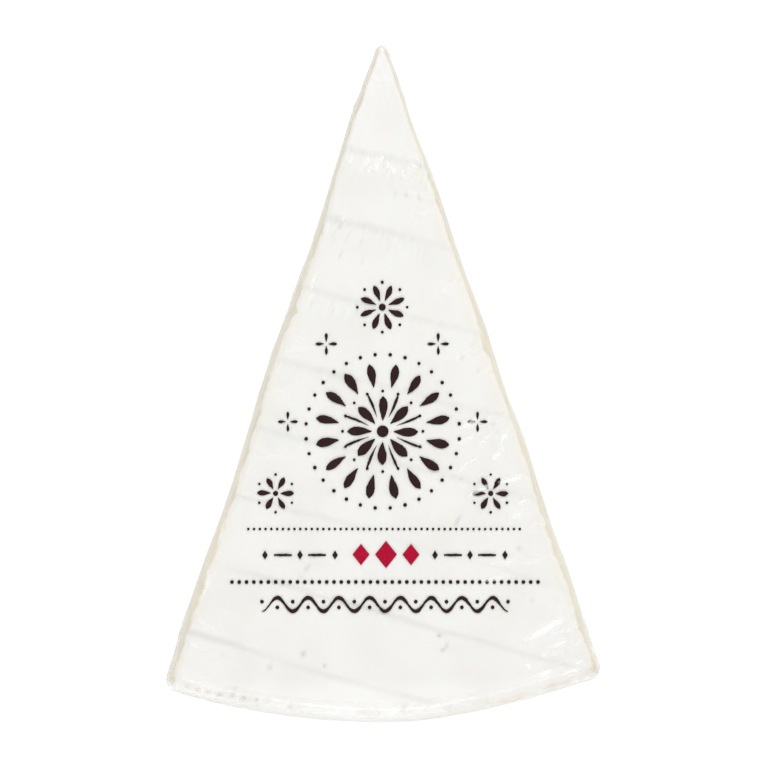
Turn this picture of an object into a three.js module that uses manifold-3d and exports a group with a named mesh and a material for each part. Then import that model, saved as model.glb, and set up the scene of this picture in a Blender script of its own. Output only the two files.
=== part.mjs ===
// A wedge of white-rinded soft cheese, sealed in tight clear film and lying on its base.
// Millimetres, +Z up. The tip points along +Y and the rim, the outside of the wheel, along -Y.
// The origin is on the surface that the wedge lies on, in the middle of its bounding box.

import * as THREE from 'three';
import { mergeVertices } from 'three/addons/utils/BufferGeometryUtils.js';
import Module from 'manifold-3d';

// The wedge, as its two cut faces and its rim lie at their fullest.
const wheelRadius = 158.4;
const wedgeHeight = 30;
const leftAngle = 18.5;
const rightAngle = 19.1;
const tipRadius = { fullest: 1.3, least: 0.3 };
const cornerRadius = { fullest: 3, least: 0.9, shrink: 0.7 };

// The rim was pressed flatter towards its right end, and both cut faces bow outwards a little.
const rimFlat = { depth: 2.2, from: 0, to: 17 };
const sideShape = {
  left: { bow: 0.4, wave: 0.35, waves: 2.6, phase: -0.4 },
  right: { bow: 0.55, wave: 0.18, waves: 4.7, phase: 1.1 },
};

// The soft paste bulges out between the two rinds, and the edges are round.
const cutFace = { bulge: 0.9, baseEdge: 1.6, topEdge: 1.8 };
const rimFace = { bulge: 1.6, baseEdge: 3.2, topEdge: 3.8 };
const bulgeHeight = 0.45;
const tipShare = 0.42;
const bulgeGrowsOver = 0.4;
const straightEnd = 0.1;

// The upper rind: it sinks a little towards the tip and swells and dips all over.
const tipSag = { depth: 1.1, over: 45 };
const swell = { size: 0.22, across: 46, along: 57, slant: 80, phases: [0.6, 1.2, 2.1] };
const topMiddle = 0.68;

// The wires of the ripening rack pressed straight grooves across the rind.
const groove = { first: 28, spacing: 17.5, count: 8, width: 1.5, depth: 0.5, lift: 1.5 };
const grooveSlope = { atTip: 13.5, atRim: 16.3 };
const grooveReach = { share: 0.42, beyond: 3, step: 10 };
const grooveBend = { size: 0.4, length: 132, shift: 1.7 };

// Pits in the rind: how far across and down from the apex, the two radii, and the turn in degrees.
const pits = [
  { across: 5.4, down: 36.8, long: 1.0, short: 0.6, turn: 10 },
  { across: 8.7, down: 37.3, long: 0.8, short: 0.6, turn: 0 },
  { across: -25.9, down: 142.6, long: 1.2, short: 0.7, turn: 20 },
  { across: -18.1, down: 142.3, long: 1.0, short: 0.7, turn: -15 },
  { across: -13.2, down: 145.3, long: 1.2, short: 0.8, turn: 0 },
  { across: 13.0, down: 138.4, long: 1.0, short: 0.7, turn: 30 },
  { across: 14.2, down: 141.2, long: 1.4, short: 0.7, turn: 70 },
  { across: -18.1, down: 125.5, long: 4.2, short: 0.5, turn: 72 },
  { across: 18.3, down: 112.9, long: 2.4, short: 0.5, turn: 55 },
];
const pitDepth = 0.35;

// A row of small dents just inside the top edge of the rim, in two runs of angles.
const rimDents = { inset: 3.2, drop: 0.8, spacing: 1.02, long: 1.1, short: 0.7, depth: 0.45 };
const dentRuns = [
  { from: -16.6, count: 8 },
  { from: 9.3, count: 3 },
  { from: 14.2, count: 2 },
];

// Points round one outline, and outlines up the wall and across the top.
const tipPoints = 6;
const sidePoints = 30;
const cornerPoints = 6;
const rimPoints = 40;
const baseEdgeRings = 3;
const wallRings = 5;
const topEdgeRings = 4;
const topRings = 9;

const radians = THREE.MathUtils.degToRad;
const smooth = (x, low, high) => THREE.MathUtils.smoothstep(x, low, high);
const mix = THREE.MathUtils.lerp;

// The angle of a side from the wedge's axis, signed: left is negative, right is positive.
const sideAngle = { left: radians(-leftAngle), right: radians(rightAngle) };

// The radius of the rim in the direction that makes this angle, in degrees, with the axis.
function rimRadius(degrees) {
  return wheelRadius - rimFlat.depth * smooth(degrees, rimFlat.from, rimFlat.to);
}

// A point at an angle from the axis and a distance from the apex, which is at (0, 0).
function fromApex(angle, distance) {
  return new THREE.Vector2(distance * Math.sin(angle), -distance * Math.cos(angle));
}

// How far the wall stands back from its fullest line, and how high, at ring t of its profile:
// 0 is the edge of the flat base, 1 the end of the base edge, 2 the start of the top edge, 3 its end.
function wallProfile(face, t) {
  const low = face.baseEdge;
  const high = wedgeHeight - face.topEdge;
  const leanAt = (z) => face.bulge * ((z / wedgeHeight - bulgeHeight) / bulgeHeight) ** 2;
  if (t < 1) {
    const turn = t * Math.PI / 2;
    return { inset: leanAt(low) + low * (1 - Math.sin(turn)), z: low * (1 - Math.cos(turn)) };
  }
  if (t <= 2) {
    const z = mix(low, high, t - 1);
    return { inset: leanAt(z), z };
  }
  const turn = (t - 2) * Math.PI / 2;
  const inset = leanAt(high) + face.topEdge * (1 - Math.cos(turn));
  return { inset, z: high + face.topEdge * Math.sin(turn) };
}

// Outwards bow and waviness of a cut face, at share v of the way from the tip to the corner.
function sideOffset(side, v) {
  const { bow, wave, waves, phase } = sideShape[side];
  const fade = smooth(v, 0, straightEnd) * (1 - smooth(v, 1 - straightEnd, 1));
  return bow * Math.sin(Math.PI * v ** 0.75) + wave * fade * Math.sin(2 * Math.PI * waves * v + phase);
}

// The fillet at a rim corner, for walls that stand back this far from their fullest lines.
function cornerFillet(side, cutInset, rimInset) {
  const angle = sideAngle[side];
  const radius = Math.max(cornerRadius.fullest - cornerRadius.shrink * cutInset, cornerRadius.least);
  const reach = rimRadius(THREE.MathUtils.radToDeg(angle)) - rimInset - radius;
  const turnIn = Math.asin((cutInset + radius) / reach);
  const centreAngle = angle - Math.sign(angle) * turnIn;
  return { centre: fromApex(centreAngle, reach), radius, centreAngle };
}

// One outline, anticlockwise from above: tip, left side, left corner, rim, right corner, right side.
// Each point is a Vector3 in which z is the ring's height there.
function outline(cut, rim) {
  const points = [];
  const tipInset = tipShare * cut.inset;
  const tipFillet = Math.max(tipRadius.fullest - tipInset, tipRadius.least);
  const halfAngle = (sideAngle.right - sideAngle.left) / 2;
  const midAngle = (sideAngle.left + sideAngle.right) / 2;
  const tipCentre = fromApex(midAngle, (tipFillet + tipInset) / Math.sin(halfAngle));
  const put = (flat, z) => points.push(new THREE.Vector3(flat.x, flat.y, z));
  const round = (centre, radius, angle) => new THREE.Vector2(
    centre.x + radius * Math.cos(angle),
    centre.y + radius * Math.sin(angle),
  );

  // A side's outward normal makes this angle with +X.
  const normalAngle = { left: Math.PI + sideAngle.left, right: sideAngle.right };
  const corners = {
    left: cornerFillet('left', cut.inset, rim.inset),
    right: cornerFillet('right', cut.inset, rim.inset),
  };

  // The whole side, from the tip down to the corner, with more inset as the bulge grows.
  const sidePoint = (side, v) => {
    const normal = new THREE.Vector2(Math.cos(normalAngle[side]), Math.sin(normalAngle[side]));
    const start = round(tipCentre, tipFillet, normalAngle[side]);
    const end = round(corners[side].centre, corners[side].radius, normalAngle[side]);
    const wanted = mix(tipInset, cut.inset, smooth(v, 0, bulgeGrowsOver));
    const straight = mix(tipInset, cut.inset, v);
    return start.lerp(end, v).addScaledVector(normal, sideOffset(side, v) + straight - wanted);
  };

  for (let i = 0; i < tipPoints; i += 1) {
    const angle = mix(normalAngle.right, normalAngle.left, (i + 0.5) / tipPoints);
    put(round(tipCentre, tipFillet, angle), cut.z);
  }
  for (let i = 0; i < sidePoints; i += 1) {
    put(sidePoint('left', i / sidePoints), cut.z);
  }
  const cornerArc = (side, reverse) => {
    const { centre, radius, centreAngle } = corners[side];
    const rimNormal = centreAngle - Math.PI / 2;
    const sideNormal = side === 'left' ? normalAngle.left - 2 * Math.PI : normalAngle.right;
    for (let i = 0; i < cornerPoints; i += 1) {
      const share = reverse ? 1 - i / cornerPoints : i / cornerPoints;
      put(round(centre, radius, mix(sideNormal, rimNormal, share)), mix(cut.z, rim.z, smooth(share, 0, 1)));
    }
  };
  cornerArc('left', false);
  for (let i = 0; i < rimPoints; i += 1) {
    const angle = mix(corners.left.centreAngle, corners.right.centreAngle, i / rimPoints);
    put(fromApex(angle, rimRadius(THREE.MathUtils.radToDeg(angle)) - rim.inset), rim.z);
  }
  cornerArc('right', true);
  for (let i = 0; i < sidePoints; i += 1) {
    put(sidePoint('right', 1 - i / sidePoints), cut.z);
  }
  return points;
}

// Height of the upper rind above a flat top, at a place measured from the apex.
function rindRelief(x, y) {
  const sag = -tipSag.depth * (1 - smooth(-y, 0, tipSag.over));
  const [first, second, third] = swell.phases;
  const turn = 2 * Math.PI;
  const crossed = Math.sin(turn * x / swell.across + first) * Math.cos(turn * y / swell.along + second);
  const slanted = Math.sin(turn * (x + y) / swell.slant + third);
  return sag + swell.size * (crossed + slanted);
}

// The closed body: a fan and rings under the base, rings up the wall, over the edge and
// across the top to one point above the middle.
function wedgeGeometry() {
  const rings = [];
  const profileSteps = [];
  for (let i = 0; i < baseEdgeRings; i += 1) profileSteps.push(i / baseEdgeRings);
  for (let i = 0; i < wallRings; i += 1) profileSteps.push(1 + i / wallRings);
  for (let i = 0; i <= topEdgeRings; i += 1) profileSteps.push(2 + i / topEdgeRings);
  for (const t of profileSteps) {
    const ring = outline(wallProfile(cutFace, t), wallProfile(rimFace, t));
    const lift = smooth(t, 1, 3);
    for (const point of ring) point.z += lift * rindRelief(point.x, point.y);
    rings.push(ring);
  }

  const middle = new THREE.Vector3(0, -topMiddle * wheelRadius, 0);
  const edge = rings[rings.length - 1];
  for (let i = 1; i < topRings; i += 1) {
    const scale = 1 - i / topRings;
    rings.push(edge.map((point) => {
      const x = mix(middle.x, point.x, scale);
      const y = mix(middle.y, point.y, scale);
      return new THREE.Vector3(x, y, wedgeHeight + rindRelief(x, y));
    }));
  }

  const around = edge.length;
  const positions = rings.flat().flatMap((point) => point.toArray());
  const below = positions.length / 3;
  positions.push(middle.x, middle.y, 0);
  const above = below + 1;
  positions.push(middle.x, middle.y, wedgeHeight + rindRelief(middle.x, middle.y));

  const index = [];
  for (let i = 0; i < around; i += 1) {
    const next = (i + 1) % around;
    index.push(below, next, i);
    for (let r = 0; r + 1 < rings.length; r += 1) {
      const a = r * around + i;
      const b = r * around + next;
      index.push(a, b, b + around, a, b + around, a + around);
    }
    const last = (rings.length - 1) * around;
    index.push(last + i, last + next, above);
  }
  const geometry = new THREE.BufferGeometry();
  geometry.setAttribute('position', new THREE.Float32BufferAttribute(positions, 3));
  geometry.setIndex(index);
  return geometry;
}

// A three-sided bar that lies along a path, with its lower edge this deep in the rind.
function grooveCutter(path) {
  const { width, depth, lift } = groove;
  const spread = width / 2 * (1 + lift / depth);
  const positions = [];
  path.forEach((place, i) => {
    const before = path[Math.max(i - 1, 0)];
    const after = path[Math.min(i + 1, path.length - 1)];
    const across = after.clone().sub(before).normalize().rotateAround(new THREE.Vector2(), Math.PI / 2);
    const surface = wedgeHeight + rindRelief(place.x, place.y);
    positions.push(place.x, place.y, surface - depth);
    for (const sign of [-1, 1]) {
      const side = place.clone().addScaledVector(across, sign * spread);
      positions.push(side.x, side.y, surface + lift);
    }
  });
  const index = [0, 1, 2];
  for (let i = 0; i + 1 < path.length; i += 1) {
    const a = 3 * i;
    for (const [p, q] of [[0, 1], [1, 2], [2, 0]]) {
      index.push(a + p, a + 3 + p, a + 3 + q, a + p, a + 3 + q, a + q);
    }
  }
  const last = 3 * (path.length - 1);
  index.push(last, last + 2, last + 1);
  const geometry = new THREE.BufferGeometry();
  geometry.setAttribute('position', new THREE.Float32BufferAttribute(positions, 3));
  geometry.setIndex(index);
  return geometry;
}

// The grooves run down to the right, each with a slight bend of its own.
function grooveCutters() {
  const cutters = [];
  for (let k = 0; k < groove.count; k += 1) {
    const slope = radians(-mix(grooveSlope.atTip, grooveSlope.atRim, k / (groove.count - 1)));
    const along = new THREE.Vector2(Math.cos(slope), Math.sin(slope));
    const down = groove.first + k * groove.spacing;
    const crossing = new THREE.Vector2(0, -down);
    const reach = grooveReach.share * down + grooveReach.beyond;
    const steps = Math.ceil(2 * reach / grooveReach.step);
    const path = [];
    for (let i = 0; i <= steps; i += 1) {
      const s = mix(-reach, reach, i / steps);
      const bend = grooveBend.size * Math.sin(2 * Math.PI * s / grooveBend.length + grooveBend.shift * k);
      path.push(crossing.clone().addScaledVector(along, s).add(new THREE.Vector2(0, bend)));
    }
    cutters.push(grooveCutter(path));
  }
  return cutters;
}

// A low ellipsoid that cuts a dent of this depth: it is four depths tall, and its middle is
// one depth above the rind, where its section is the sine of 60 degrees of its full width.
function dentCutter(x, y, long, short, turn, depth, surface) {
  const widen = 1 / Math.sin(radians(60));
  const geometry = new THREE.IcosahedronGeometry(1, 1);
  geometry.scale(long * widen, short * widen, depth * 2);
  geometry.rotateZ(turn);
  geometry.translate(x, y, surface + depth);
  return geometry;
}

function pitCutters() {
  return pits.map(({ across, down, long, short, turn }) => {
    const y = -down;
    const surface = wedgeHeight + rindRelief(across, y);
    return dentCutter(across, y, long, short, radians(turn), pitDepth, surface);
  });
}

function rimDentCutters() {
  const cutters = [];
  for (const { from, count } of dentRuns) {
    for (let i = 0; i < count; i += 1) {
      const degrees = from + i * rimDents.spacing;
      const place = fromApex(radians(degrees), rimRadius(degrees) - rimDents.inset);
      const surface = wedgeHeight - rimDents.drop + rindRelief(place.x, place.y);
      cutters.push(dentCutter(
        place.x, place.y, rimDents.long, rimDents.short, radians(degrees), rimDents.depth, surface,
      ));
    }
  }
  return cutters;
}

// Booleans between closed meshes.
const wasm = await Module();
wasm.setup();

function toSolid(geometry) {
  geometry.deleteAttribute('normal');
  geometry.deleteAttribute('uv');
  const merged = mergeVertices(geometry, 1e-4);
  return new wasm.Manifold(new wasm.Mesh({
    numProp: 3,
    vertProperties: new Float32Array(merged.attributes.position.array),
    triVerts: new Uint32Array(merged.index.array),
  }));
}

function toGeometry(solid) {
  const { vertProperties, triVerts } = solid.getMesh();
  const geometry = new THREE.BufferGeometry();
  geometry.setAttribute('position', new THREE.BufferAttribute(vertProperties, 3));
  geometry.setIndex(new THREE.BufferAttribute(triVerts, 1));
  return geometry;
}

function makeWedge() {
  let solid = toSolid(wedgeGeometry());
  for (const cutter of [...grooveCutters(), ...pitCutters(), ...rimDentCutters()]) {
    solid = solid.subtract(toSolid(cutter));
  }
  const geometry = toGeometry(solid);
  geometry.computeBoundingBox();
  const middle = geometry.boundingBox.getCenter(new THREE.Vector3());
  geometry.translate(-middle.x, -middle.y, -geometry.boundingBox.min.z);
  geometry.computeVertexNormals();

  const material = new THREE.MeshStandardMaterial({ color: 0xf2f1ed, roughness: 0.35, metalness: 0 });
  const mesh = new THREE.Mesh(geometry, material);
  mesh.name = 'wrapped_brie_wedge';
  return mesh;
}

const brie = new THREE.Group();
brie.add(makeWedge());

export default brie;
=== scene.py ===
# A wedge of white-rinded soft cheese in tight clear printed film, lying flat and seen from straight above.
# Shapes are worked out in millimetres from the apex of the wedge, with Y up the page, and made in metres.
import math
import bpy
import numpy as np
from mathutils.bvhtree import BVHTree
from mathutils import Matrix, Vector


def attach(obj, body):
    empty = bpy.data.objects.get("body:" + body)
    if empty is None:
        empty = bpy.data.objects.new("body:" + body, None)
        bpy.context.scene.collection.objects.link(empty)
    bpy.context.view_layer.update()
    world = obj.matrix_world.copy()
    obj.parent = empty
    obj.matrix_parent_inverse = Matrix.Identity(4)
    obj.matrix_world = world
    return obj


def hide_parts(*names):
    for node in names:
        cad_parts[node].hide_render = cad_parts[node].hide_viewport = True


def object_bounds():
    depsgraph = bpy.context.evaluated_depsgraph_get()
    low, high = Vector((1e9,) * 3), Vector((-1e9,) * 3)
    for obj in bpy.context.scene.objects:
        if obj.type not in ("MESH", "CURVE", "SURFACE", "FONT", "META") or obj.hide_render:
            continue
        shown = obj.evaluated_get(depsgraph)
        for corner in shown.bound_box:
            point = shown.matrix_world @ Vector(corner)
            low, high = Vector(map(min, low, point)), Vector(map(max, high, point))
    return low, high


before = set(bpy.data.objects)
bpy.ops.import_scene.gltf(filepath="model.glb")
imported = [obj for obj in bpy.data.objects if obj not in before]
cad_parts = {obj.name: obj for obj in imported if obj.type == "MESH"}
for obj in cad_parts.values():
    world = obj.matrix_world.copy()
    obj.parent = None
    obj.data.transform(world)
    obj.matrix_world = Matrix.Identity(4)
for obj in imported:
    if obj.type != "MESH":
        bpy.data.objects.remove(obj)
cadLow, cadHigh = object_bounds()
solidNode = "wrapped_brie_wedge"
metres = 0.001
fullTurn = 2 * math.pi

# the driving sizes of the wedge, the same as in the solid
wedge = {
    "wheelRadius": 158.4, "height": 30.0, "leftAngle": math.radians(-18.5),
    "rightAngle": math.radians(19.1), "tipRadius": 1.3, "tipLeast": 0.3, "cornerRadius": 3.0,
    "cornerLeast": 0.9, "cornerShrink": 0.7, "rimFlatDepth": 2.2, "rimFlatFrom": 0.0, "rimFlatTo": 17.0,
    "bulgeHeight": 0.45, "tipShare": 0.42, "bulgeGrowsOver": 0.4, "straightEnd": 0.1, "sagDepth": 1.1,
    "sagOver": 45.0, "baseMiddle": 0.68, "swell": 0.22, "swellAcross": 46.0, "swellAlong": 57.0,
    "swellSlant": 80.0, "swellPhases": (0.6, 1.2, 2.1),
}
cutFace = {"bulge": 0.9, "baseEdge": 1.6, "topEdge": 1.8}
rimFace = {"bulge": 1.6, "baseEdge": 3.2, "topEdge": 3.8}
sideShape = {
    "left": {"bow": 0.4, "wave": 0.35, "waves": 2.6, "phase": -0.4},
    "right": {"bow": 0.55, "wave": 0.18, "waves": 4.7, "phase": 1.1},
}
# where the photograph has the apex, and its scale, for marks that are placed by a pixel
# the scale holds at the fullest height, and marks on the higher top look a little larger to this lens
photoPlace = {"apexX": 381.4, "apexY": 35.0, "pixelsPerMm": 4.342, "middle": 384.0, "topScale": 1.0067}
# rows and columns of the finished surfaces
grid = {
    "columns": 184, "rows": 260, "sideCorner": 0.035, "rimCorner": 0.045, "crowding": 0.35, "baseRings": 4,
}
gridColumns, gridRows = grid["columns"], grid["rows"]
# factors that stir a lattice place and a seed into a number that looks random
stir = {"x": 374761393, "y": 668265263, "seed": 974711, "again": 1274126177, "bits": 0xffffffff}


def smooth(x, low, high):  # 0 below low, 1 above high, an S-curve between
    t = np.clip((x - low) / (high - low), 0, 1)
    return t * t * (3 - 2 * t)


def mix(a, b, share):
    return a + (b - a) * share


def bell(x, middle, width):
    return np.exp(-((x - middle) / width) ** 2)


def heading(angle):  # unit vector from the apex, at this angle from the wedge's axis
    return np.stack([np.sin(angle), -np.cos(angle)], axis=-1)


def fromPhoto(px, py, enlarged=photoPlace["topScale"]):  # a pixel of the photograph in mm from the apex
    scale, middle = photoPlace["pixelsPerMm"], photoPlace["middle"]
    px, py = middle + (px - middle) / enlarged, middle + (py - middle) / enlarged
    return (px - photoPlace["apexX"]) / scale, (photoPlace["apexY"] - py) / scale


def noise(x, y, size, seed):
    # random values on a square lattice of this size, blended by smooth steps, between -1 and 1
    gridX, gridY = np.floor(x / size), np.floor(y / size)
    shareX, shareY = smooth(x / size - gridX, 0, 1), smooth(y / size - gridY, 0, 1)
    gridX, gridY = gridX.astype(np.int64), gridY.astype(np.int64)

    def corner(dx, dy):
        mixed = ((gridX + dx) * stir["x"] + (gridY + dy) * stir["y"] + seed * stir["seed"]) & stir["bits"]
        mixed = ((mixed ^ (mixed >> 13)) * stir["again"]) & stir["bits"]
        return ((mixed ^ (mixed >> 16)) & 0xffff) / 32767.5 - 1

    near = mix(corner(0, 0), corner(1, 0), shareX)
    far = mix(corner(0, 1), corner(1, 1), shareX)
    return mix(near, far, shareY)


def chance(seed, ranges):  # seeded random numbers, and a draw from the range of this name
    rng = np.random.default_rng(seed)
    return rng, lambda name: rng.uniform(*ranges[name])


def ridges(x, y, lines):
    # for each line a ridge with a bell across it that tapers to nothing at both ends, all added up
    total = np.zeros(np.broadcast(x, y).shape)
    for x0, y0, x1, y1, width, height in lines:
        length = math.hypot(x1 - x0, y1 - y0)
        alongX, alongY = (x1 - x0) / length, (y1 - y0) / length
        share = ((x - x0) * alongX + (y - y0) * alongY) / length
        off = (y - y0) * alongX - (x - x0) * alongY
        taper = np.sin(math.pi * np.clip(share, 0, 1)) ** 0.7
        total += height * taper * bell(off, 0, width)
    return total


# the outline

def rimRadius(angle):  # the rim lies a little nearer to the tip towards its right end
    flatter = smooth(np.degrees(angle), wedge["rimFlatFrom"], wedge["rimFlatTo"])
    return wedge["wheelRadius"] - wedge["rimFlatDepth"] * flatter


def wallProfile(face, t):
    # quarter circle up from the base (t 0 to 1), bulged wall (1 to 2), quarter circle to the top (2 to 3)
    onBase, onWall = t < 1, t <= 2
    low, edge = face["baseEdge"], face["topEdge"]
    high = wedge["height"] - edge
    turn = np.where(onBase, t, t - 2) * math.pi / 2
    z = np.where(onWall, mix(low, high, t - 1), high + edge * np.sin(turn))
    z = np.where(onBase, low * (1 - np.cos(turn)), z)
    middle = wedge["bulgeHeight"]
    lean = face["bulge"] * ((np.clip(z, low, high) / wedge["height"] - middle) / middle) ** 2
    rounding = np.where(onWall, 0, edge * (1 - np.cos(turn)))
    inset = lean + np.where(onBase, low * (1 - np.sin(turn)), rounding)
    tilt = np.where(onBase, turn - math.pi / 2, np.where(onWall, 0, turn))
    return inset, z, tilt


def cornerFillet(side, cutInset, rimInset):
    # the arc that joins a side to the rim: its middle, its radius and its middle's angle from the axis
    angle = wedge[side + "Angle"]
    radius = np.maximum(wedge["cornerRadius"] - wedge["cornerShrink"] * cutInset, wedge["cornerLeast"])
    reach = rimRadius(angle) - rimInset - radius
    centreAngle = angle - np.sign(angle) * np.arcsin((cutInset + radius) / reach)
    return reach[..., None] * heading(centreAngle), radius, centreAngle


def onCircle(centre, radius, angle):
    return centre + radius[..., None] * np.stack([np.cos(angle), np.sin(angle)], axis=-1)


def sideOffset(side, v):  # outwards bow and waviness of a cut face, at share v from tip to corner
    shape = sideShape[side]
    end = wedge["straightEnd"]
    fade = smooth(v, 0, end) * (1 - smooth(v, 1 - end, 1))
    bow = shape["bow"] * np.sin(math.pi * v ** 0.75)
    return bow + shape["wave"] * fade * np.sin(fullTurn * shape["waves"] * v + shape["phase"])


def rowShares():  # rows lie closer together towards the rim
    even = np.linspace(0, 1, gridRows + 1)
    return mix(even, 1 - (1 - even) ** 2, grid["crowding"])


def outlineRings(cutInset, rimInset):
    # each ring runs anticlockwise: tip, left side, left corner, rim, right corner, right side
    cutInset, rimInset = cutInset[:, None], rimInset[:, None]
    tipInset = wedge["tipShare"] * cutInset
    tipRadius = np.maximum(wedge["tipRadius"] - tipInset, wedge["tipLeast"])
    left, right = wedge["leftAngle"], wedge["rightAngle"]
    tipReach = (tipRadius + tipInset) / math.sin((right - left) / 2)
    tipCentre = tipReach[..., None] * heading(np.array((left + right) / 2))
    normals = {"left": math.pi + left, "right": right}
    corners = {side: cornerFillet(side, cutInset, rimInset) for side in normals}
    rimNormals = {side: corners[side][2] - math.pi / 2 for side in corners}
    sideNormals = {"left": normals["left"] - fullTurn, "right": normals["right"]}

    def sideCurve(side):  # straight but for its bow, then half of the corner's arc
        share = rowShares()[None, :]
        bend = 1 - grid["sideCorner"]
        v, turn = np.clip(share / bend, 0, 1), np.clip((share - bend) / (1 - bend), 0, 1) / 2
        centre, radius, _ = corners[side]
        start = onCircle(tipCentre, tipRadius, np.full_like(v, normals[side]))
        end = onCircle(centre, radius, np.full_like(v, sideNormals[side]))
        wanted = mix(tipInset, cutInset, smooth(v, 0, wedge["bulgeGrowsOver"]))
        out = sideOffset(side, v) + mix(tipInset, cutInset, v) - wanted
        outward = np.array([math.cos(normals[side]), math.sin(normals[side])])
        straight = mix(start, end, v[..., None]) + out[..., None] * outward
        arc = onCircle(centre, radius, mix(sideNormals[side], rimNormals[side], turn))
        return np.where((share > bend)[..., None], arc, straight)

    def rimCurve():  # half an arc at each corner, with the rim between
        share = np.linspace(0, 1, gridColumns + 1)[None, :]
        bend = grid["rimCorner"]
        v = np.clip((share - bend) / (1 - 2 * bend), 0, 1)
        angle = mix(corners["left"][2], corners["right"][2], v)
        curve = (rimRadius(angle) - rimInset)[..., None] * heading(angle)
        for side, away in (("left", share), ("right", 1 - share)):
            turn = 0.5 + 0.5 * np.clip(away / bend, 0, 1)
            arc = onCircle(*corners[side][:2], mix(sideNormals[side], rimNormals[side], turn))
            curve = np.where((away < bend)[..., None], arc, curve)
        return curve

    tipTurn = np.linspace(normals["right"], normals["left"], gridColumns + 1)[None, :]
    tip = onCircle(tipCentre, tipRadius, tipTurn)
    parts = [tip[:, :-1], sideCurve("left")[:, :-1], rimCurve()[:, :-1], sideCurve("right")[:, :0:-1]]
    return np.concatenate(parts, axis=1)


def ringShares():
    # for each place round a ring: how much it is rim, and how much it is a cut face, from 0 to 1
    side = np.clip((rowShares() - 1 + grid["sideCorner"]) / grid["sideCorner"], 0, 1) / 2
    along = np.linspace(0, 1, gridColumns + 1)
    rim = 0.5 + 0.5 * np.clip(np.minimum(along, 1 - along) / grid["rimCorner"], 0, 1)
    turn = np.concatenate([np.zeros(gridColumns), side[:-1], rim[:-1], side[:0:-1]])
    return smooth(turn, 0, 1)


fullestRing = outlineRings(np.zeros(1), np.zeros(1))[0]
# the row frame's origin is the middle of the fullest outline's box, here seen from the apex
origin = (fullestRing.min(axis=0) + fullestRing.max(axis=0)) / 2
# millimetres along the fullest outline from its first node, and there the tip and the two corners
ringSteps = np.linalg.norm(np.roll(fullestRing, -1, axis=0) - fullestRing, axis=1)
lengths = np.concatenate([[0], np.cumsum(ringSteps)[:-1]])
cornerNodes = (gridColumns + gridRows, 2 * gridColumns + gridRows)
cornerPlaces = [0.5 * lengths[gridColumns], *(lengths[node] for node in cornerNodes)]
around = lengths[None, :]
cadSize = [round(1000 * c, 2) for c in cadHigh - cadLow]
print("outline box", np.ptp(fullestRing, axis=0).round(2), "CAD box", cadSize)

# the rind's relief

rack = {
    "count": 8, "first": 28.4, "spacing": 17.38, "slopeTip": 13.5, "slopeRim": 16.3, "bend": 0.4,
    "bendLength": 132.0, "bendShift": 1.7, "depth": 0.34, "halfWidth": 0.6, "breaks": 13.0,
    "rightFade": 0.35, "fadeFrom": -10, "fadeTo": 25, "wiggle": 0.35, "wiggleSize": 7.0, "steady": 0.68,
    "broken": 0.42, "presence": (0.85, 0.9, 0.75, 0.7, 0.7, 0.6, 0.8, 0.9),
    "combedShadeAndLight": (1.0, 1.0, 0.7, 0.5, 0.4, 0.3, 0.3, 0.35),
}
# pits: pixel across and down, long and short radius in mm, turn in degrees, depth in mm
pits = [
    (395, 195, 0.7, 0.3, 65, 0.22), (405.5, 195.5, 0.7, 0.35, 70, 0.3),
    (418.5, 197.3, 0.7, 0.35, 120, 0.28), (269.5, 667, 0.8, 0.4, 70, 0.4),
    (303.3, 654, 0.8, 0.42, 65, 0.45), (324.5, 666, 0.5, 0.45, 0, 0.4),
    (439.3, 635.7, 0.55, 0.45, 20, 0.55), (443, 650, 0.75, 0.38, 30, 0.5), (447, 645, 0.7, 0.3, 65, 0.4),
    (307, 568, 1.5, 0.32, 62, 0.32), (301, 577, 0.7, 0.3, 40, 0.25), (457.5, 521, 1.5, 0.36, 60, 0.4),
    (461, 480, 0.6, 0.3, 70, 0.2), (340, 255, 1.0, 0.3, 62, 0.25), (362, 262, 0.6, 0.3, 50, 0.2),
    (519, 549, 0.7, 0.5, 70, 0.3), (532, 601, 0.5, 0.5, 0, 0.25), (462, 358, 0.8, 0.4, 60, 0.25),
    (478, 371, 0.7, 0.35, 80, 0.2), (493, 425, 0.6, 0.4, 30, 0.25), (498, 432, 0.5, 0.4, 0, 0.2),
]
# dents along the top edge of the rim, in the same six values
rimDents = [
    (186.5, 687.5, 0.6, 0.42, 70, 0.45), (196.8, 690.5, 0.6, 0.42, 60, 0.42),
    (207.8, 692.8, 0.55, 0.42, 60, 0.42), (219, 695.5, 0.7, 0.5, 30, 0.5),
    (231.7, 695.8, 0.65, 0.4, 75, 0.45), (243.3, 699.2, 0.75, 0.55, 50, 0.55),
    (256.5, 700, 0.55, 0.38, 60, 0.38), (257, 706, 0.6, 0.35, 60, 0.3), (267, 701, 0.6, 0.5, 0, 0.3),
    (234.8, 688.6, 0.5, 0.3, 60, 0.2), (289.7, 707.8, 0.8, 0.45, 150, 0.35),
    (302, 711.6, 0.5, 0.4, 60, 0.3), (312, 711.6, 0.5, 0.4, 60, 0.25), (487, 701, 0.8, 0.4, 80, 0.35),
    (551.7, 687, 1.1, 0.4, 60, 0.45), (533, 697, 0.9, 0.35, 40, 0.35), (567, 683.5, 1.1, 0.4, 30, 0.45),
    (580, 680, 0.9, 0.35, 35, 0.35), (513, 704.5, 1.0, 0.3, 20, 0.3), (404, 708, 0.9, 0.35, 60, 0.3),
    (450, 712, 1.1, 0.4, 130, 0.3),
]
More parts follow.
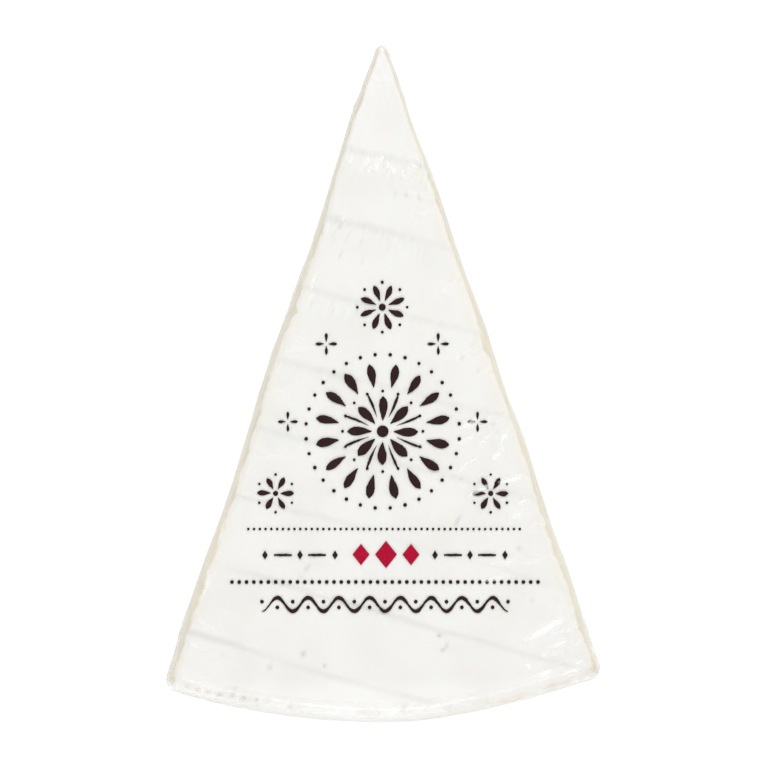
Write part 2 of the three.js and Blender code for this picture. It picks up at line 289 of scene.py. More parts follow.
# ochre and amber patches: pixel across and down, long and short radius in mm, turn in degrees, strength
amberPatches = [
    (505, 702, 1.5, 0.5, 8, 1.15), (519.5, 699.8, 1.0, 0.55, 15, 1.15), (243.8, 699, 0.8, 0.6, 0, 0.6),
    (219, 695, 0.8, 0.5, 0, 0.45), (197, 691, 0.5, 0.4, 0, 0.35), (569, 684.5, 1.3, 0.6, 25, 0.9),
    (594, 668, 1.3, 3.0, -15, 0.7), (588, 676, 2.2, 0.8, 30, 1.1), (172.5, 680, 1.1, 2.2, -20, 0.65),
    (460, 713, 2.2, 0.5, 5, 0.3), (553, 689, 0.9, 0.5, 25, 0.7), (535, 695.5, 0.8, 0.5, 25, 0.7),
]


def blotches(x, y, marks, spread=1.0):
    # for each mark an oval bell of its two radii, turned, times its last value; the largest counts
    total = np.zeros(np.broadcast(x, y).shape)
    for px, py, long, short, turn, strength in marks:
        cx, cy = fromPhoto(px, py)
        c, s = math.cos(math.radians(turn)), math.sin(math.radians(turn))
        along, across = (x - cx) * c + (y - cy) * s, (y - cy) * c - (x - cx) * s
        oval = np.exp(-((along / (long * spread)) ** 2 + (across / (short * spread)) ** 2))
        total = np.maximum(total, strength * oval)
    return total


def rindSwell(x, y):  # sunk a little at the tip, with long swells, as in the solid
    first, second, third = wedge["swellPhases"]
    sag = -wedge["sagDepth"] * (1 - smooth(-y, 0, wedge["sagOver"]))
    acrossWave, alongWave = fullTurn * x / wedge["swellAcross"], fullTurn * y / wedge["swellAlong"]
    crossed = np.sin(acrossWave + first) * np.cos(alongWave + second)
    return sag + wedge["swell"] * (crossed + np.sin(fullTurn * (x + y) / wedge["swellSlant"] + third))


def rackMarks(x, y, halfWidth, rise=0.0, least=0.0, presence="presence"):
    # straight lines with a slight bend and wiggle, each a bell across, that fades in and out along its length
    total = np.zeros(np.broadcast(x, y).shape)
    fade = 1 - rack["rightFade"] * smooth(x, rack["fadeFrom"], rack["fadeTo"])
    for k in range(rack["count"]):
        slope = math.radians(-mix(rack["slopeTip"], rack["slopeRim"], k / (rack["count"] - 1)))
        down = rack["first"] + k * rack["spacing"]
        along = x * math.cos(slope) + (y + down) * math.sin(slope)
        bend = rack["bend"] * np.sin(fullTurn * along / rack["bendLength"] + rack["bendShift"] * k)
        bend = bend + rack["wiggle"] * noise(along, np.full_like(along, 31.0 * k), rack["wiggleSize"], 6)
        off = (y + down - bend) * math.cos(slope) - x * math.sin(slope) - rise
        breaks = noise(along, np.full_like(along, 37.0 * k), rack["breaks"], 5)
        strength = rack[presence][k] * (rack["steady"] + rack["broken"] * breaks)
        total = np.maximum(total, np.clip(strength, least, 1) * fade * bell(off, 0, halfWidth))
    return total


def insideDistance(x, y):  # how far a place lies inside the nearer cut face's fullest line
    left, right = math.pi + wedge["leftAngle"], wedge["rightAngle"]
    return np.minimum(*(-(x * math.cos(side) + y * math.sin(side)) for side in (left, right)))


# the two surfaces: the cheese, and the film that lies on it

def profileSteps(base, wall, top):  # so many steps on the base edge, the wall and the top edge
    return np.concatenate([np.arange(base) / base, 1 + np.arange(wall) / wall, np.linspace(2, 3, top + 1)])


def skin(steps):
    # rings of the outline, inset by the profile's curve at each step and raised by the swell: their places,
    # the directions out from them, how much each place is rim, and the profile's tilt
    cutInset, cutZ, tilt = wallProfile(cutFace, steps)
    rimInset, rimZ, _ = wallProfile(rimFace, steps)
    rings = outlineRings(cutInset, rimInset)
    rimShare = ringShares()[None, :]
    tangent = np.roll(rings, -1, axis=1) - np.roll(rings, 1, axis=1)
    tangent /= np.linalg.norm(tangent, axis=2, keepdims=True)
    outward = np.stack([tangent[..., 1], -tangent[..., 0]], axis=-1)
    lift = smooth(steps, 1, 3)[:, None]
    z = mix(cutZ[:, None], rimZ[:, None], rimShare) + lift * rindSwell(rings[..., 0], rings[..., 1])
    wall = np.concatenate([rings, z[..., None]], axis=2)
    upward = np.broadcast_to(np.sin(tilt)[:, None, None], z.shape + (1,))
    normal = np.concatenate([outward * np.cos(tilt)[:, None, None], upward], axis=2)
    return wall, normal, rimShare, tilt[:, None]


def topNodes():
    # the ring's number of each border node of the top: rows run from tip to rim, columns left to right
    i, j = np.arange(gridRows + 1), np.arange(gridColumns + 1)
    lastSide = (2 * gridColumns + 2 * gridRows - i) % (2 * (gridRows + gridColumns))
    return gridColumns - j, gridColumns + i, gridColumns + gridRows + j, lastSide


def fillTop(ring):
    # a patch between four border curves: opposite curves blended, less the blend of its corners
    tip, left, rim, right = (ring[nodes] for nodes in topNodes())
    s = np.linspace(0, 1, gridColumns + 1)[None, :, None]
    t = rowShares()[:, None, None]
    across, down = mix(left[:, None], right[:, None], s), mix(tip[None], rim[None], t)
    corners = mix(mix(left[0], right[0], s), mix(left[-1], right[-1], s), t)
    return across + down - corners


otherWay = [0, 3, 2, 1]  # the same corners of a cell, taken the other way round


def cells(number, closed=False):
    # the four corners of every cell of a grid of numbered points; a closed grid's last column meets its first
    if closed:
        number = np.concatenate([number, number[:, :1]], axis=1)
    corners = number[:-1, :-1], number[1:, :-1], number[1:, 1:], number[:-1, 1:]
    return np.stack(corners, axis=-1).reshape(-1, 4)


def closeBody(wall, base, topHeight):
    # points and faces of the closed body: wall rings from the base up, the top inside the last ring at the
    # heights that the function gives, and the base inside the first, by rings and a fan; also the top's grid
    wall[..., 2] = np.maximum(wall[..., 2], base)
    top = fillTop(wall[-1])
    inner = top[1:-1, 1:-1]
    for part in (wall[-1], inner):
        part[..., 2] = topHeight(part[..., 0], part[..., 1])
    middle = np.array([0, -wedge["baseMiddle"] * wedge["wheelRadius"], base])
    shares = np.linspace(1, 0, grid["baseRings"] + 1)[1:-1][:, None, None]
    baseRings = mix(middle, wall[0][None], shares)
    points = np.concatenate([part.reshape(-1, 3) for part in (wall, inner, baseRings, middle)])
    rings, count = wall.shape[:2]
    number = np.arange(len(points) - 1)
    wallNumber = number[:rings * count].reshape(rings, count)
    innerNumber, baseNumber = np.split(number[rings * count:], [inner[..., 0].size])
    baseNumber = np.concatenate([wallNumber[:1], baseNumber.reshape(-1, count)])
    topNumber = np.empty((gridRows + 1, gridColumns + 1), int)
    topNumber[1:-1, 1:-1] = innerNumber.reshape(inner.shape[:2])
    border = (wallNumber[-1][nodes] for nodes in topNodes())
    topNumber[0], topNumber[:, 0], topNumber[-1], topNumber[:, -1] = border
    quads = [cells(wallNumber, True)[:, otherWay], cells(topNumber), cells(baseNumber, True)]
    last = baseNumber[-1]
    fan = np.stack([last, np.full(count, len(points) - 1), np.roll(last, -1)], axis=-1)
    return points, np.concatenate(quads), fan, top


def bodyValues(wallValue, topValue=0.0, baseValue=0.0):  # one value for each point, in closeBody's order
    topValue = np.broadcast_to(topValue, (gridRows + 1, gridColumns + 1))
    base = np.full((grid["baseRings"] - 1) * len(lengths) + 1, baseValue)
    return np.concatenate([wallValue.ravel(), topValue[1:-1, 1:-1].ravel(), base])


def addObject(name, data):
    made = bpy.data.objects.new(name, data)
    bpy.context.scene.collection.objects.link(made)
    return made


def makeMesh(name, material, points, quads, triangles=None, values=None):
    # points in millimetres from the apex become a smooth mesh in metres in the row frame
    places = points.copy()
    places[:, :2] -= origin
    mesh = bpy.data.meshes.new(name)
    mesh.vertices.add(len(places))
    mesh.vertices.foreach_set("co", (places * metres).astype(np.float32).ravel())
    corners, starts = quads.ravel(), 4 * np.arange(len(quads))
    if triangles is not None:
        starts = np.concatenate([starts, len(corners) + 3 * np.arange(len(triangles))])
        corners = np.concatenate([corners, triangles.ravel()])
    mesh.loops.add(len(corners))
    mesh.loops.foreach_set("vertex_index", corners.astype(np.int32))
    mesh.polygons.add(len(starts))
    mesh.polygons.foreach_set("loop_start", starts.astype(np.int32))
    mesh.update(calc_edges=True)
    mesh.validate()
    mesh.shade_smooth()
    for label, value in (values or {}).items():
        mesh.attributes.new(label, "FLOAT", "POINT").data.foreach_set("value", value.astype(np.float32))
    mesh.materials.append(material)
    print(name, len(mesh.vertices), "points", len(mesh.polygons), "faces")
    return addObject(name, mesh)


# node materials

def newMaterial(name):
    material = bpy.data.materials.new(name)
    material.use_nodes = True
    material.node_tree.nodes.clear()
    return material, material.node_tree


def addNode(tree, kind, inputs=None, **settings):
    # a node of this kind with its settings, and its inputs, each a value or another node's output
    node = tree.nodes.new("ShaderNode" + kind)
    for label, value in settings.items():
        setattr(node, label, value)
    for label, value in (inputs or {}).items():
        if isinstance(value, bpy.types.NodeSocket):
            tree.links.new(value, node.inputs[label])
        else:
            node.inputs[label].default_value = value
    return node


def showShader(tree, shader):
    addNode(tree, "OutputMaterial", {"Surface": shader.outputs[0]})


def placeNode(tree):
    return addNode(tree, "TexCoord").outputs["Object"]


def noiseNode(tree, place, scale, detail, stretch=None, turn=0.0):
    if stretch:  # turned first, by degrees, and then stretched by these factors
        inputs = {"Vector": place, "Scale": stretch, "Rotation": (0, 0, math.radians(turn))}
        place = addNode(tree, "Mapping", inputs, vector_type="TEXTURE").outputs["Vector"]
    return addNode(tree, "TexNoise", {"Vector": place, "Scale": scale, "Detail": detail}).outputs["Fac"]


def rampNode(tree, value, low, high, top=1.0, bottom=0.0):  # the value between low and high as bottom to top
    inputs = {"Value": value, "From Min": low, "From Max": high, "To Min": bottom, "To Max": top}
    return addNode(tree, "MapRange", inputs).outputs["Result"]


def patternNode(tree, place, low, high, most, *pattern):  # noise between low and high as 0 to most
    return rampNode(tree, noiseNode(tree, place, *pattern), low, high, most)


def mathNode(tree, operation, *values):
    return addNode(tree, "Math", dict(enumerate(values)), operation=operation).outputs[0]


def attributeNode(tree, label):
    return addNode(tree, "Attribute", attribute_name=label).outputs["Fac"]


def blendNode(tree, share, first, second):  # two colours, or sockets, blended by a share
    first, second = ((*colour, 1) if isinstance(colour, tuple) else colour for colour in (first, second))
    return addNode(tree, "Mix", {"Factor": share, 6: first, 7: second}, data_type="RGBA").outputs[2]


def layNodes(tree, colour, look, labels):  # over a colour, by each attribute, the colour of its name
    for label in labels:
        colour = blendNode(tree, attributeNode(tree, label), colour, look[label])
    return colour


def whiteningNode(tree, label):  # an attribute's value, but 0 on the inner side, so light gets out again
    outside = mathNode(tree, "SUBTRACT", 1.0, addNode(tree, "NewGeometry").outputs["Backfacing"])
    return mathNode(tree, "MULTIPLY", attributeNode(tree, label), outside)


def bumpNodes(tree, layers):  # for each layer its height, strength and distance, one bump upon the other
    inputs = {}
    for height, strength, distance in layers:
        inputs.update({"Height": height, "Strength": strength, "Distance": distance})
        inputs["Normal"] = addNode(tree, "Bump", inputs).outputs["Normal"]
    return inputs["Normal"]


def mixShader(tree, share, first, second):
    return addNode(tree, "MixShader", {0: share, 1: first.outputs[0], 2: second.outputs[0]})


cheeseLook = {
    "rind": (0.870, 0.864, 0.846), "rindDull": (0.838, 0.830, 0.806), "edge": (0.855, 0.830, 0.775),
    # the rim rind colours are creamier and darker than the top's: partly the rind's own colour, partly
    # painted shade on the wall
    "rimRindShaded": (0.835, 0.81, 0.755), "rimRindDullShaded": (0.765, 0.73, 0.655), "paste": (0.825, 0.765, 0.63),
    "pasteDeep": (0.77, 0.695, 0.54), "inner": (0.785, 0.70, 0.51), "heart": (0.865, 0.825, 0.725),
    # the eye colour is painted shade in the holes, the line colour painted shade along the rack grooves, and
    # the pale colour a painted highlight beside them
    "ripe": (0.71, 0.668, 0.545), "eyeShade": (0.62, 0.53, 0.38), "line": (0.60, 0.597, 0.575),
    "paleHighlight": (0.93, 0.93, 0.915), "amber": (0.70, 0.58, 0.44), "pit": (0.42, 0.39, 0.355), "roughness": 0.72,
    "soft": 0.18, "softScale": 0.0012, "softRadius": (1.0, 0.75, 0.45), "crumbs": (520, 5), "ragged": 1.5,
    "pasteFrom": 0.25, "pasteTo": 0.8,
}
# noises that blend colours: the range that counts, its most, scale, detail, stretch and turn in degrees
cheesePatterns = {
    "cloud": (0.42, 0.66, 1.0, 70, 5), "mottles": (0.36, 0.62, 1.0, 230, 6),
    "veins": (0.35, 0.7, 1.0, 160, 6),
    # fine marks of the mould lie across the rack lines, so the pattern is stretched that way
    "hairs": (0.58, 0.78, 0.35, 1400, 3, (1.0, 6.0, 1.0), -17),
    # round the rack lines the mould is combed into short dark and pale strokes; the dark ones are also
    # painted shade and the pale ones a painted highlight beside the grooves
    "darkStrokesShade": (0.57, 0.72, 0.55, 1500, 2, (1.0, 4.5, 1.0), -24),
    "paleStrokesHighlight": (0.54, 0.7, 0.8, 1100, 2, (1.0, 6.0, 1.0), -17),
}
# bumps: strength, distance in metres, scale, detail, stretch and turn in degrees
cheeseBumps = ((0.1, 0.0001, 2200, 4), (0.3, 0.0002, 520, 3, (1.0, 2.4, 1.0), -17))


def cheeseMaterial():
    material, tree = newMaterial("rind_and_paste")
    look, place = cheeseLook, placeNode(tree)
    patterns = {name: patternNode(tree, place, *values) for name, values in cheesePatterns.items()}
    rind = blendNode(tree, patterns["cloud"], look["rind"], look["rindDull"])
    rind = blendNode(tree, patterns["hairs"], rind, look["rindDull"])
    rind = layNodes(tree, rind, look, ["edge"])
    # the rim's rind is creamier and darker than the top's: partly its own colour, partly painted shade on the
    # wall
    rimRindShaded = blendNode(tree, patterns["mottles"], look["rimRindShaded"], look["rimRindDullShaded"])
    rind = blendNode(tree, attributeNode(tree, "creamyAndShaded"), rind, rimRindShaded)
    paste = blendNode(tree, patterns["veins"], look["paste"], look["pasteDeep"])
    # the eyes are painted darker as painted shade in the holes, and the paste is also darker towards the
    # bottom
    paste = layNodes(tree, paste, look, ["inner", "heart", "ripe", "eyeShade"])
    crumbs = mathNode(tree, "SUBTRACT", noiseNode(tree, place, *look["crumbs"]), 0.5)
    ragged = mathNode(tree, "MULTIPLY_ADD", crumbs, look["ragged"], attributeNode(tree, "paste"))
    colour = blendNode(tree, rampNode(tree, ragged, look["pasteFrom"], look["pasteTo"]), rind, paste)
    # near the rack lines the dark strokes are painted shade and the pale strokes a painted highlight, over
    # combed mould
    nearRack = attributeNode(tree, "rack")
    for strokes, tint in (("darkStrokesShade", "line"), ("paleStrokesHighlight", "paleHighlight")):
        colour = blendNode(tree, mathNode(tree, "MULTIPLY", patterns[strokes], nearRack), colour, look[tint])
    # the lines are painted shade along the rack grooves
    colour = layNodes(tree, colour, look, ["line", "amber", "pit"])
    bumps = [(noiseNode(tree, place, *bump[2:]), *bump[:2]) for bump in cheeseBumps]
    showShader(tree, addNode(tree, "BsdfPrincipled", {
        "Base Color": colour, "Roughness": look["roughness"], "Normal": bumpNodes(tree, bumps),
        "Subsurface Weight": look["soft"], "Subsurface Scale": look["softScale"],
        "Subsurface Radius": look["softRadius"]}))
    return material


filmLook = {
    "facingGloss": 0.055, "slantGloss": 0.4, "roughness": 0.13, "tint": (0.99, 0.99, 0.985),
    # the haze colour also paints glints, and the crease colour is the crease ribbons' white, partly whitened
    # film and partly painted glints
    "hazeAndGlint": (0.95, 0.95, 0.94), "crease": (0.97, 0.97, 0.965), "creaseRoughness": 0.3,
    # bumps by scale, detail, stretch and turn in degrees, and their strengths and distances in metres
    "ripple": (300, 2, (3.0, 1.0, 1.0), 28), "fine": (1000, 3, (1.0, 5.0, 1.0), -17),
    "pleats": (620, 2, (1.0, 5.0, 5.0)), "bumps": ((0.14, 0.0003), (0.05, 0.0001), (0.5, 0.0004)),
}


def filmMaterial():
    material, tree = newMaterial("clear_film")
    look, place = filmLook, placeNode(tree)
    ripple, fine, pleats = (noiseNode(tree, place, *look[name]) for name in ("ripple", "fine", "pleats"))
    gathered = mathNode(tree, "MULTIPLY", pleats, attributeNode(tree, "gather"))
    heights = (ripple, fine, gathered)
    normal = bumpNodes(tree, [(height, *bump) for height, bump in zip(heights, look["bumps"])])
    clear = addNode(tree, "BsdfTransparent", {"Color": (*look["tint"], 1)})
    # the diffuse white is the film's haze, and also painted glints and painted light where the film is
    # creased, wrinkled, at the rim's middle and near the tip
    hazeAndGlint = addNode(tree, "BsdfDiffuse", {"Color": (*look["hazeAndGlint"], 1)})
    gloss = addNode(tree, "BsdfGlossy", {"Roughness": look["roughness"], "Normal": normal})
    # gloss is the same from inside and outside: a little face-on, the rest by the fifth power of the slant
    slant = addNode(tree, "LayerWeight", {"Blend": 0.5, "Normal": normal}).outputs["Facing"]
    fifth = mathNode(tree, "POWER", slant, 5.0)
    glossShare = rampNode(tree, fifth, 0, 1, look["slantGloss"], look["facingGloss"])
    shiny = mathNode(tree, "SUBTRACT", 1.0, attributeNode(tree, "dull"))
    hazedAndGlinting = mixShader(tree, whiteningNode(tree, "hazeAndGlint"), clear, hazeAndGlint)
    showShader(tree, mixShader(tree, mathNode(tree, "MULTIPLY", glossShare, shiny), hazedAndGlinting, gloss))
    return material


def creaseGlintMaterial():
    material, tree = newMaterial("whitened_film")
    # white with a little gloss: partly stress-whitened film, partly painted glints
    white = {"Base Color": (*filmLook["crease"], 1), "Roughness": filmLook["creaseRoughness"]}
    shaders = addNode(tree, "BsdfTransparent"), addNode(tree, "BsdfPrincipled", white)
    showShader(tree, mixShader(tree, whiteningNode(tree, "white"), *shaders))
    return material


inkLook = {
    "roughness": 0.55, "specular": 0.12, "patches": (0.5, 0.8, 0.5, 1500, 4),
    # each ink's colour, and its colour where it is worn
    "dark_ink": ((0.024, 0.009, 0.009), (0.05, 0.028, 0.026)),
    "crimson_ink": ((0.40, 0.0, 0.026), (0.46, 0.03, 0.05)),
}


def inkMaterial(name):
    material, tree = newMaterial(name)
    shade = blendNode(tree, patternNode(tree, placeNode(tree), *inkLook["patches"]), *inkLook[name])
    showShader(tree, addNode(tree, "BsdfPrincipled", {
        "Base Color": shade, "Roughness": inkLook["roughness"], "Specular IOR Level": inkLook["specular"]}))
    return material


# the cheese

cheeseShape = {
    "steps": (5, 24, 15), "gap": 0.2, "base": 0.5, "lumps": (0.06, 3.2), "crumb": (0.035, 0.9),
    # where the rind ends on a cut face, how softly, and how far that line wanders and drifts
    "rindTilt": math.radians(44), "rindTiltRight": math.radians(16), "rindStep": 0.05, "rindStepWidth": 0.3,
    "rindSoft": 0.45, "rindWander": 0.75, "rindDrift": 0.8, "rimTurn": 2.6, "rimTurnAt": 0.62,
    # holes in the paste: how many a side, how deep, and their places and radii
    "eyes": 70, "eyeDepth": 0.35, "eyeAlong": (0.05, 0.96), "eyeUp": (4, 25), "eyeLong": (0.4, 1.5),
    "eyeShort": (0.3, 0.7), "eyeStrong": (0.4, 1),
    # near the right corner the film stands off the paste
    "rightGap": 0.2, "rightGapDown": (128, 143), "rightGapAcross": (30, 40), "rimLumps": 0.17,
    "rimLumpSize": 2.1, "rimLumpTilt": 0.8, "rimLumpWidth": 0.5, "mould": 0.08, "mouldSize": 2.4,
    "rimCloser": 0.3, "dentTilt": (0.2, 1.2), "topDents": 0.6,
}
# where on the wall and the top each colour is, in millimetres or degrees, and how much it counts
cheeseBands = {
    "heartUp": 13, "heartWander": 2, "heartWidth": 4.2, "heart": 0.6, "ripeIn": (0.8, 4.5), "ripe": 0.6,
    "ripeVaries": 0.95, "edgeIn": (2.0, 4.2), "edgeWander": 0.9, "edgeDown": (8, 60), "edge": 0.75,
    "ochreAngle": (6.5, 10), "ochreUp": 26.4, "ochreWidth": 2.0, "ochre": 0.55, "ochreVaries": 0.75,
    "creamShadeUp": (17, 25), "creamShade": 0.8, "creamShadeVaries": 0.35, "creamShadeBase": 0.6, "stainBase": 4.5,
    "stainUp": (21, 25), "stainLeast": 0.35, "stain": 0.8, "upper": (24, 28), "nearTop": (18, 22),
    "line": 0.42, "amber": 0.6, "amberDents": 1.5, "amberMost": 0.75, "pits": 1.1, "pitDents": 0.5,
    "pitMost": 0.6, "combWidth": 3.2, "combRise": -1.6, "combLeast": 0.1,
}


def layered(x, y, *layers):  # noises added up, each by its share, size and seed
    return sum(share * noise(x, y, size, seed) for share, size, seed in layers)


def rindRelief(x, y, seed):  # low lumps with fine crumb on them
    return layered(x, y, (*cheeseShape["lumps"], seed), (*cheeseShape["crumb"], seed + 1))


def rindTop(x, y):  # height of the cheese's top
    marks = rack["depth"] * rackMarks(x, y, rack["halfWidth"])
    dents = blotches(x, y, pits) + cheeseShape["topDents"] * blotches(x, y, rimDents)
    return wedge["height"] - cheeseShape["gap"] + rindSwell(x, y) + rindRelief(x, y, 21) - marks - dents


def rimRelief(z, tilt, rimShare):
    # how far the rim's rind stands back: lumpy at its upper edge, with small cushions of mould on its side
    shape = cheeseShape
    size = shape["rimLumpSize"]
    lumps = 1.5 + layered(around, tilt * 4, (1.0, size, 35), (0.5, 0.43 * size, 36))
    size = shape["mouldSize"]
    cushions = 1.7 + layered(around, z, (1.0, size, 43), (0.7, 0.45 * size, 44))
    onEdge = bell(tilt, shape["rimLumpTilt"], shape["rimLumpWidth"])
    return rimShare * (shape["rimLumps"] * onEdge * lumps + shape["mould"] * cushions)


def pasteDepth(x, y, z, tilt, rimShare):
    # millimetres into the cut paste from the nearest of the rind's edges: above, below and at the rim
    # the rind is about a millimetre thick, so the paste starts just over the edge, on a wandering line
    shape = cheeseShape
    wander, radius = shape["rindWander"], cutFace["topEdge"]
    strays = layered(around, 0.0, (wander, 2.6, 31), (0.6 * wander, 0.9, 32), (shape["rindDrift"], 8.5, 46))
    rindTilt = np.where(x > 0.01 * y, shape["rindTiltRight"], shape["rindTilt"])
    belowTop = radius * (rindTilt - tilt) + np.maximum(wedge["height"] - radius - z, 0) + strays
    aboveBase = radius * (tilt + rindTilt) + np.maximum(z - cutFace["baseEdge"], 0) + strays
    beforeRim = shape["rimTurn"] * (shape["rimTurnAt"] - rimShare) * radius
    return np.minimum(np.minimum(belowTop, aboveBase), beforeRim)


def eyeHollows(z):
    # small holes in the cut faces, each an oval bell along and up the wall; the largest counts
    shape = cheeseShape
    _, draw = chance(41, shape)
    sideLength = lengths[cornerNodes[0]] - lengths[gridColumns]
    eyes = np.zeros(z.shape)
    for start in (lengths[gridColumns], lengths[cornerNodes[1]]):
        for _ in range(shape["eyes"]):
            cx, cz = start + sideLength * draw("eyeAlong"), draw("eyeUp")
            long, short = draw("eyeLong"), draw("eyeShort")
            oval = np.exp(-((around - cx) / long) ** 2 - ((z - cz) / short) ** 2)
            eyes = np.maximum(eyes, draw("eyeStrong") * oval)
    return eyes


def wallColours(x, y, z, rimShare, depthIn, paste, eyes):
    # values of the wall alone: how much each place has of every colour
    bands, cut = cheeseBands, 1 - rimShare
    heartUp = bands["heartUp"] + bands["heartWander"] * noise(around, 0.0, 14.0, 38)
    heart = bell(z, heartUp, bands["heartWidth"])
    ripeness = bands["ripe"] + bands["ripeVaries"] * noise(around, z * 0.5, 2.9, 39)
    # below its upper edge the rim is creamier and darker than the top, partly its own colour and partly
    # painted shade on the wall; the cut paste is also darker towards the bottom
    creamAndShade = bands["creamShade"] + bands["creamShadeVaries"] * noise(around, z * 1.3, 6.5, 45)
    lower = (1 - smooth(z, *bands["creamShadeUp"])) * creamAndShade
    # towards its right end the rim's upper edge has darkened in patches, and below it are ochre stains
    patchy = np.clip(bands["ochre"] + bands["ochreVaries"] * noise(around, z * 0.3, 2.4, 37), 0, 1)
    rightEnd = smooth(np.degrees(np.arctan2(x, -y)), *bands["ochreAngle"])
    ochre = rightEnd * rimShare * patchy * bell(z, bands["ochreUp"], bands["ochreWidth"])
    stains = np.clip(layered(around, z * 1.6, (1.0, 5.5, 40), (0.6, 1.9, 42)) - 0.35, 0, 1)
    nearBase = mix(bands["stainLeast"], 1, bell(z, bands["stainBase"], bands["stainBase"]))
    stains = rimShare * stains * nearBase * (1 - smooth(z, *bands["stainUp"]))
    return {
        "paste": bodyValues(paste), "heart": bodyValues(heart * cut * bands["heart"]),
        "ripe": np.clip(bodyValues(paste * (1 - smooth(depthIn, *bands["ripeIn"])) * ripeness), 0, 1),
        # the rim and the base are creamier and darker: partly their own colour, partly painted shade
        "creamyAndShaded": np.clip(bodyValues(lower * rimShare, 0.0, bands["creamShadeBase"]), 0, 1),
        # the eyes are darkened: painted shade in the holes
        "inner": np.clip(bodyValues(lower * cut), 0, 1), "eyeShade": bodyValues(eyes * paste),
        "ochre": bodyValues(ochre + bands["stain"] * stains),
    }


def rindColours(points, top, cut, ochre):
    # values of the rind: the tint along its edges, its lines, which are painted shade along the rack grooves,
    # its strokes, which are combed mould with painted shade and painted highlight, its pits, and its amber
    # patches
    bands = cheeseBands
    topX, topY = top[..., 0], top[..., 1]
    x, y, z = points.T
    upper, nearTop = smooth(z, *bands["upper"]), smooth(z, *bands["nearTop"])
    inward = insideDistance(topX, topY) + bands["edgeWander"] * noise(topX, topY, 2.6, 33)
    edge = (1 - smooth(inward, *bands["edgeIn"])) * smooth(-topY, *bands["edgeDown"])
    pitted = bands["pits"] * blotches(x, y, pits, 0.85) + bands["pitDents"] * blotches(x, y, rimDents, 0.7)
    amber = bands["amber"] * np.maximum(nearTop * blotches(x, y, amberPatches), ochre)
    amber = amber + bands["amberDents"] * upper * blotches(x, y, rimDents, 0.95)
    # the combed strokes are mould marks with painted shade and painted highlight beside the grooves
    combedShadeAndLight = rackMarks(x, y, bands["combWidth"], bands["combRise"], bands["combLeast"], "combedShadeAndLight")
    return {
        "edge": bands["edge"] * bodyValues(cut, edge), "rack": upper * combedShadeAndLight,
        # the lines are painted shade along the rack grooves
        "line": bands["line"] * upper * rackMarks(x, y, rack["halfWidth"] * 1.25, 0.1),
        "pit": upper * np.clip(pitted, 0, bands["pitMost"]), "amber": np.clip(amber, 0, bands["amberMost"]),
    }


def makeCheese():
    shape = cheeseShape
    wall, normal, rimShare, tilt = skin(profileSteps(*shape["steps"]))
    x, y, z = (wall[..., axis] for axis in range(3))
    cut = np.ones_like(z) * (1 - rimShare)
    depthIn, eyes = pasteDepth(x, y, z, tilt, rimShare), eyeHollows(z)
    paste = smooth(depthIn, -shape["rindSoft"], shape["rindSoft"])
    # paste stands back from the film a little less than the rind does, and sinks at the rind's own edge
    ledge = shape["rindStep"] * bell(depthIn, 0, shape["rindStepWidth"])
    offFilm = smooth(-y, *shape["rightGapDown"]) * smooth(x, *shape["rightGapAcross"])
    back = cut * (ledge + shape["rightGap"] * offFilm + shape["eyeDepth"] * eyes) - rindRelief(around, z, 23)
    back = back + shape["gap"] * (1 - shape["rimCloser"] * rimShare) + rimRelief(z, tilt, rimShare)
    back = back + blotches(x, y, rimDents) * smooth(tilt, *shape["dentTilt"])
    wallPoints = wall - normal * back[..., None]
    wallPoints[0, :, 2] = shape["base"]
    points, quads, fan, top = closeBody(wallPoints, shape["base"], rindTop)
    values = wallColours(x, y, z, rimShare, depthIn, paste, eyes)
    values.update(rindColours(points, top, cut, values.pop("ochre")))
    return makeMesh("cheese", cheeseMaterial(), points, quads, fan, values)


# the film

filmShape = {
    "steps": (4, 34, 10), "base": 0.12, "lies": 0.05, "bridge": 0.5, "ripple": 0.035, "ripples": 5.5,
    "rimRipple": 0.11, "rimRipples": 1.7, "rimTilt": 0.9, "rimWidth": 0.55, "creaseRise": 0.28,
    "clings": 0.85, "raisedMost": 0.5, "dips": (-0.1, 1), "dipTilt": (0.3, 1.5), "topFrom": 2.2,
    "wallFrom": (0.3, 3),
    # faint wrinkles of the top: how many, how far from the tip, length, turn, half-width and height
    "sideWrinkles": 46, "sideReach": (25, 150), "sideLong": (3, 11), "sideMost": 0.16,
    "sideTurn": (-40, 12), "sideWide": (0.3, 0.5), "sideHigh": (0.03, 0.09), "sideAngle": 0.97,
    "crowdLong": (0.4, 1), "crowdWide": (0.2, 0.34), "crowdHigh": (0.06, 0.16), "keepsOff": 1.2,
    # wrinkles of the walls, near the corners and elsewhere
    "wallWrinkles": 260, "cornerLong": (6, 24), "cornerTurn": (15, 75), "cornerUp": [2.0, 28.0],
    "cornerSpread": 5, "wallLong": (4, 16), "wallUp": (2, 28), "wallTurn": 28, "wallWide": (0.45, 0.8),
    "wallHigh": (0.05, 0.24),
}
# whiteness, gathering and dullness: how much each is, and where; the whiteness is partly the film's own haze
# and partly painted glints and painted light
filmBands = {
    "wallGlintHaze": 1.3, "creaseGlintHaze": 0.5, "creaseMost": 0.45, "hazeMost": 0.85, "frostAndHighlight": 0.5, "frostWidth": 8,
    "frostTurn": 1.5, "wallLeast": 0.015, "topLeast": 0.012, "baseHaze": 0.05, "tip": 0.16,
    "tipDown": (8, 40), "dull": 0.75, "dullDown": (147, 151), "dullRim": 1.4, "dullVaries": 0.6,
    "gatherCorner": 7, "gatherUp": 3.5, "gatherRim": 0.8, "gatherTop": 0.6, "gatherDown": (146, 152),
    "gatherBase": 0.5,
}
# crowds of small creases: middle in pixels, spread in mm across and down, how many, turn in degrees, longest
creaseCrowds = [
    (558, 642, 6.0, 4.5, 22, 28, 6.5), (490, 452, 5.5, 9.5, 15, 36, 10.0),
    (382, 168, 5.0, 2.0, 20, 72, 4.5), (578, 668, 3.0, 2.2, 10, 10, 3.5),
]
